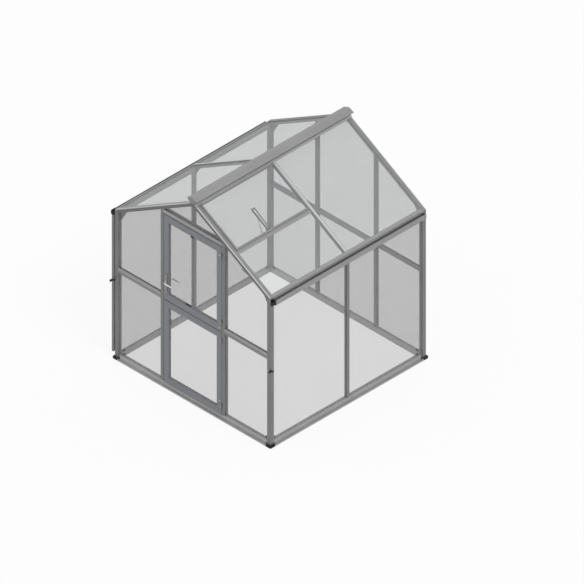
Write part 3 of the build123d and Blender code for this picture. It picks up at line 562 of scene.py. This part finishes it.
def roof_gaskets():
    """Rubber of the slopes; the right one's front bay is glazed below the vent and in it."""
    foot, head = up_slope(COVER_X), up_slope(FLANGE_X)
    panes = [
        (ROOF_PANES, box(*BACK_BAY, foot, head)),
        (ROOF_PANES, box(*FRONT_BAY, foot, BELOW_VENT)),
        (LEFT @ ROOF_PANES, box(*BACK_BAY, foot, head)),
        (LEFT @ ROOF_PANES, box(*FRONT_BAY, foot, head)),
        (VENT_PANE, box(*VENT_GLASS)),
    ]
    gaskets("roof_gaskets", panes)


def door_gaskets():
    """Rubber of the two leaves."""
    for leaf, (low, high) in LEAF_GLASS.items():
        corners = box(-LEAF_GLASS_X, LEAF_GLASS_X, low, high)
        gaskets(leaf + "_door_gasket", [(FRONT_PANES, corners)], leaf + "_door")


def screw(radius):
    """Pan head with a round socket."""
    rise = radius * 0.5
    return Shape().lathe([
        (0.0, rise * 0.35), (radius * 0.4, rise * 0.35), (radius * 0.4, rise), (radius * 0.65, rise),
        (radius * 0.92, rise * 0.6), (radius, rise * 0.2), (radius, 0.0), (0.0, 0.0),
    ])


def hex_bolt(radius):
    """Chamfered hexagon head on its washer."""
    washer = radius * 0.25
    top = radius * 0.9
    chamfer = radius * 0.85
    head = [(0.0, top), (chamfer, top), (radius, top * 0.85), (radius, washer), (0.0, washer)]
    shape = Shape().lathe([(0.0, washer), (radius * 1.3, washer), (radius * 1.35, 0.0), (0.0, 0.0)], 20)
    return shape.put(Shape().lathe(head, 6), Matrix())


def hinge_screws():
    """Screws of the hinges: one in each post plate, three in each leaf plate."""
    post_x, leaf_x = 0.404, 0.372
    proud, step = 0.002, 0.020
    heights = [z for pair in HINGE_HEIGHTS.values() for z in pair]
    places = [at(FRONT_FACE, post_x, z, proud) for z in heights]
    spread("post_hinge_screws", "fitting", screw(PLATE_SCREW), places)
    for leaf, pair in HINGE_HEIGHTS.items():
        places = [at(FRONT_FACE, leaf_x, z + shift, proud) for z in pair for shift in (-step, 0, step)]
        spread(leaf + "_hinge_screws", "fitting", screw(PLATE_SCREW), places, leaf + "_door")


def lock_trims():
    """Screws of the lock's plates, and its key rotors with their slots, outside and inside."""
    middle_x = 0.352
    screw_heights = (1.109, 1.301)
    screw_out = 0.005
    key_z, key_out = 1.145, 0.008
    inside = plane((0, -1.010, 0), (-1, 0, 0), (0, 0, 1))
    sides = [at(FRONT_FACE, -middle_x, 0), at(inside, middle_x, 0)]
    places = [at(side, 0, z, screw_out) for side in sides for z in screw_heights]
    spread("lock_screws", "fitting", screw(PLATE_SCREW), places, "upper_door")
    keys = [at(side, 0, key_z, key_out) for side in sides]
    rotor = Shape().lathe([(0.0, 0.0008), (0.0046, 0.0008), (0.0052, 0.0), (0.0, 0.0)], 24)
    spread("lock_rotors", "fitting", rotor, keys, "upper_door")
    slot = Shape().block((-0.0007, -0.0036, 0.0), (0.0007, 0.0036, 0.0010), 0.0002)
    spread("key_slots", "plastic", slot, keys, "upper_door")


def stile_rivets():
    """Rivets at the ends of the hinge stiles."""
    stile_x, radius = 0.3555, 0.006
    for leaf, name in (("upper", "upper_stile_rivets"), ("lower", "lower_stile_rivet")):
        places = [at(FRONT_FACE, stile_x, z) for z in RIVET_HEIGHTS[leaf]]
        spread(name, "polished_painted_highlight", screw(radius), places, leaf + "_door")


def gusset_flanges():
    """Bent flanges of the gussets, with their bolts."""
    thick, edge = 0.0015, 0.0005
    near, far = 0.999, 1.011
    middle = (near + far) / 2
    slope_out = -0.040
    rafter_foot, rafter_head = (0.0015, 0.066, slope_out - thick), (0.014, 0.108, slope_out)
    post_flange = Shape().block((INNER - thick, -far, 1.617), (INNER, -near, 1.694), edge)
    slope_flange = Shape().block((-far, 0.058, slope_out - thick), (-near, 0.150, slope_out), edge)
    shape = Shape()
    shape.put(post_flange, *CORNERS)
    shape.put(slope_flange, *[corner @ SLOPE_FACE for corner in CORNERS])
    shape.put(Shape().block(rafter_foot, rafter_head, edge), *both_sides(SLOPE_FACE))
    shape.piece("gusset_flanges", "cross")
    on_post = plane((INNER, -middle, 0), (0, 1, 0), (0, 0, 1)) @ INWARDS
    on_slope = at(SLOPE_FACE, 0, 0, slope_out) @ INWARDS
    bolts = []
    for corner in CORNERS:
        bolts += [at(corner @ on_post, 0, z, thick) for z in (1.632, 1.668)]
        bolts += [at(corner @ on_slope, -middle, s, thick) for s in (0.078, 0.132)]
    bolts += [at(side, 0.008, 0.088, thick) for side in both_sides(on_slope)]
    spread("gusset_bolts", "fitting", hex_bolt(0.004), bolts)


def sill_fixings():
    """Screws of the feet and sills, and the black tabs on the sills inside."""
    foot_screw, sill_screw = (0.9885, 0.023, 0.005), (0.965, 0.051, -0.012)
    walls = ((FRONT_FACE, 1), (RIGHT_FACE, -1))
    screws = [
        at(corner @ face, way * across, up, out)
        for corner in CORNERS
        for face, way in walls
        for across, up, out in (foot_screw, sill_screw)
    ]
    spread("sill_screws", "fitting", screw(0.0032), screws)
    near, far = 0.944, 0.970
    inner, outer = 0.996, 1.012
    top, edge = 0.073, 0.0012
    tabs = Shape()
    tabs.put(Shape().block((near, -outer, SILL_TOP), (far, -inner, top), edge), *CORNERS)
    tabs.put(Shape().block((inner, -far, SILL_TOP), (outer, -near, top), edge), *CORNERS)
    tabs.piece("sill_tabs", "plastic")


def clip_knobs():
    """Clamping knobs of the downpipes' clips, with their screws."""
    radius, depth, edge = 0.009, 0.008, 0.0015
    clip = plane((1.0685, -1.071, 0.900), (0, 1, 0), (0, 0, 1))
    knob = Shape().lathe([
        (0.0, depth), (radius - edge, depth), (radius, depth - edge),
        (radius, edge), (radius - edge, 0.0), (0.0, 0.0),
    ], 10)
    spread("clip_knobs", "plastic", knob, both_sides(clip))
    spread("clip_screws", "fitting", screw(0.004), both_sides(at(clip, 0, 0, depth)))


def rafter_strips():
    """Light cover strip on each middle rafter."""
    half, slant = 0.013, 0.0015
    side, thick = 0.0009, 0.0017
    play = 0.002
    section = [
        (-half, 0), (-half, side), (slant - half, thick),
        (half - slant, thick), (half, side), (half, 0),
    ]
    run = Shape().prism(section, up_slope(COVER_X) + play, up_slope(FLANGE_X) - play)
    spread("rafter_strips", "strip", run, both_sides(UP_THE_SLOPE))


def gable_strips():
    """Strips on the gable bars: a light one round the upper edge, a painted highlight, and a dark one on
    the face, painted shade.
    """
    places = [corner @ UP_THE_SLOPE for corner in CORNERS]
    edge = [
        (-1.040, -0.007), (-1.0418, -0.0055), (-1.0418, -0.0006), (-1.0402, 0.0012),
        (-1.033, 0.0012), (-1.033, 0.0), (-1.040, 0.0),
    ]
    edge_foot, edge_head = 0.004, up_slope(FLANGE_X) - 0.002
    spread("gable_painted_highlight_strips", "strip", Shape().prism(edge, edge_foot, edge_head), places)
    face = [(-1.040, -0.038), (-1.0408, -0.037), (-1.0408, -0.012), (-1.040, -0.011)]
    face_foot, face_head = 0.010, 1.172
    spread("gable_painted_shade_strips", "painted_shade", Shape().prism(face, face_foot, face_head), places)


def ridge_flange_strips():
    """Light strips on the ridge's flanges, painted light over the shade under the ridge's cap, with a lip
    down to the glass in each fixed bay.
    """
    foot, head = 1.1486, 1.168
    lip_foot, lip_low, lip_high, edge = 1.1452, -0.0055, 0.0036, 0.0006
    reach = 1.049
    section = [(-reach, 0.0026), (-reach, 0.0040), (reach, 0.0040), (reach, 0.0026)]
    near, far = 0.018, 0.994
    back_lip = Shape().block((near, lip_foot, lip_low), (far, foot, lip_high), edge)
    front_lip = Shape().block((-far, lip_foot, lip_low), (-near, foot, lip_high), edge)
    shape = Shape().put(Shape().prism(section, foot, head), *both_sides(UP_THE_SLOPE))
    shape.put(back_lip, *both_sides(SLOPE_FACE))
    shape.put(front_lip, LEFT @ SLOPE_FACE)
    shape.piece("ridge_flange_strips", "strip")


def vent_apron():
    """Thin flashing on the pane below the vent's sill."""
    flashing = Shape().block((-0.994, 0.533, -0.006), (-0.018, 0.5725, -0.0035), 0.0008)
    spread("vent_apron", "deep", flashing, [SLOPE_FACE])


def gutter_trims():
    """Pale sheets on the gutters' inner walls, painted light over the shade in the troughs, and the plugs
    of their back ends.
    """
    painted_light_sheet = Shape().block((HALF, -0.996, 1.664), (1.0414, 1.000, 1.713), 0.0006)
    spread("eave_painted_light_sheets", "painted_light_sheet", painted_light_sheet, both_sides(Matrix()))
    plug = Shape().block((1.0425, 0.984, 1.655), (1.0742, 1.0095, 1.694), 0.003)
    spread("gutter_end_plugs", "plastic", plug, both_sides(Matrix()))


def ridge_ends():
    """Plates on both ends of the ridge's cap and of its box, with their screws; the box's plates are in the
    darker copy of the aluminium, painted shade under the cap.
    """
    near, far = 0.005, 0.009
    cap = [(0.0, 2.3725), (0.0545, 2.3472), (0.0105, 2.3238), (-0.0105, 2.3238), (-0.0545, 2.3472)]
    spread("ridge_end_plates", "cross", Shape().prism(cap, near, far), both_ends(FRONT_FACE))
    half, foot, shoulder, top = 0.0215, 2.2616, 2.3065, 2.3190
    outline = [(-half, foot), (half, foot), (half, shoulder), (0.0, top), (-half, shoulder)]
    spread("ridge_box_plates", "painted_shade", Shape().prism(outline, 0.0, 0.002), both_ends(FRONT_FACE))
    screw_x, screw_z = 0.022, 2.350
    places = [at(end, x, screw_z, far) for end in both_ends(FRONT_FACE) for x in (-screw_x, screw_x)]
    spread("ridge_end_screws", "fitting", screw(0.003), places)


def drip_strip():
    """Strip on the lower leaf that covers the joint of the leaves."""
    bead = [(0.0, 1.0005), (0.0022, 1.0005), (0.0028, 1.0020), (0.0022, 1.0065), (0.0, 1.0065)]
    reach = 0.380
    across = plane((0, -HALF, 0), (0, -1, 0), (0, 0, 1))
    strip = Shape().prism(bead, -reach, reach)
    spread("lower_door_drip_strip", "door", strip, [across], "lower_door")


def front_rail_covers():
    """Light cover strips on the front's mid rails and on the door header, which paint light over the shaded
    recesses and gaskets there.
    """
    thick, edge = 0.0016, 0.0006
    rail = Shape().block((0.4292, 1.034, 0.0), (0.9948, 1.070, thick), edge)
    header = Shape().block((-0.3905, 2.016, 0.0), (0.3905, 2.0465, thick), edge)
    shape = Shape().put(rail, *both_sides(FRONT_FACE))
    shape.put(header, FRONT_FACE)
    shape.piece("front_rail_covers", "painted_light_cover")


def door_clip():
    """Small clip under the upper leaf's top rail."""
    clip = Shape().block((-0.028, -1.0432, 1.905), (0.008, -1.0265, 1.923), 0.0015)
    clip.piece("upper_door_clip", "plastic", "upper_door")


def vent_hinge():
    """Knuckles along the head of the vent's frame."""
    radius, length = 0.0038, 0.040
    edge = 0.0008
    narrow = 0.0032
    count, pitch = 22, 0.042
    start, up, out = -0.968, 1.140, 0.0118
    knuckle = Shape().lathe([
        (0.0, 0.0), (narrow, 0.0), (radius, edge), (radius, length - edge), (narrow, length), (0.0, length),
    ])
    turn = Matrix.Rotation(math.radians(90), 4, "Y")
    places = [at(SLOPE_FACE, start + index * pitch, up, out) @ turn for index in range(count)]
    spread("vent_hinge_knuckles", "strip", knuckle, places)


wall_gaskets()
roof_gaskets()
door_gaskets()
hinge_screws()
lock_trims()
stile_rivets()
gusset_flanges()
sill_fixings()
clip_knobs()
rafter_strips()
gable_strips()
ridge_flange_strips()
vent_apron()
gutter_trims()
ridge_ends()
drip_strip()
front_rail_covers()
door_clip()
vent_hinge()


def seen_directly(finish):
    """1 where the eye, a reflection or a pane looks, 0 for light on the object."""
    direct = finish.node("ShaderNodeLightPath", out="Is Camera Ray")
    for ray in ("Is Glossy Ray", "Is Transmission Ray"):
        direct = direct.maths("MAXIMUM", direct, finish.node("ShaderNodeLightPath", out=ray))
    return direct


def floor():
    """Plain white floor that keeps a soft shadow."""
    size, height = 60, -0.001
    mesh = bpy.data.meshes.new("floor")
    shape = bmesh.new()
    bmesh.ops.create_grid(shape, x_segments=1, y_segments=1, size=size)
    shape.to_mesh(mesh)
    shape.free()
    piece = bpy.data.objects.new("floor", mesh)
    piece.location.z = height
    bpy.context.scene.collection.objects.link(piece)
    finish = Finish(bpy.data.materials.new("floor"))
    grain = finish.noise(finish.place(), 60.0, 3.0, 0.5)
    colour = finish.tint(grain, grey(0.8), grey(0.84))
    matt = finish.node("ShaderNodeBsdfDiffuse", None, {"Color": colour})
    glow = finish.node("ShaderNodeEmission", None, {"Color": (1, 1, 1, 1), "Strength": 1.0})
    share = seen_directly(finish) * FLOOR_GLOW
    shader = finish.node("ShaderNodeMixShader", None, {0: share, 1: matt, 2: glow})
    finish.node("ShaderNodeOutputMaterial", None, {"Surface": shader})
    mesh.materials.append(finish.owner)


def sky():
    """White all round, at a plain level where it lights the object."""
    world = bpy.data.worlds.new("sky")
    bpy.context.scene.world = world
    finish = Finish(world)
    strength = SKY_LEVEL + seen_directly(finish) * (1 - SKY_LEVEL)
    shader = finish.node("ShaderNodeBackground", None, {"Color": (1, 1, 1, 1), "Strength": strength})
    finish.node("ShaderNodeOutputWorld", None, {"Surface": shader})


def sun(name, level, source, spread_angle):
    """Wide soft lamp that shines from a place towards the middle."""
    data = bpy.data.lights.new(name, "SUN")
    data.energy = level
    data.angle = math.radians(spread_angle)
    lamp = bpy.data.objects.new(name, data)
    lamp.rotation_mode = "QUATERNION"
    lamp.rotation_quaternion = Vector(source).to_track_quat("Z", "Y")
    bpy.context.scene.collection.objects.link(lamp)


def camera():
    """Parallel view along the diagonal of the house."""
    back = Vector((
        math.sin(VIEW_TURN) * math.cos(VIEW_TILT),
        -math.cos(VIEW_TURN) * math.cos(VIEW_TILT),
        math.sin(VIEW_TILT),
    ))
    right = Vector((math.cos(VIEW_TURN), math.sin(VIEW_TURN), 0))
    up = back.cross(right)
    data = bpy.data.cameras.new("camera")
    data.type = "ORTHO"
    data.ortho_scale = VIEW_WIDTH
    data.clip_end = 100
    piece = bpy.data.objects.new("camera", data)
    piece.location = right * VIEW_RIGHT + up * VIEW_UP + back * VIEW_DISTANCE
    piece.rotation_mode = "QUATERNION"
    piece.rotation_quaternion = back.to_track_quat("Z", "Y")
    bpy.context.scene.collection.objects.link(piece)
    bpy.context.scene.camera = piece


floor()
sky()
sun("key_light", KEY_LEVEL, KEY_FROM, KEY_SPREAD)
sun("fill_light", FILL_LEVEL, FILL_FROM, FILL_SPREAD)
camera()
bpy.context.scene.view_settings.view_transform = "Standard"
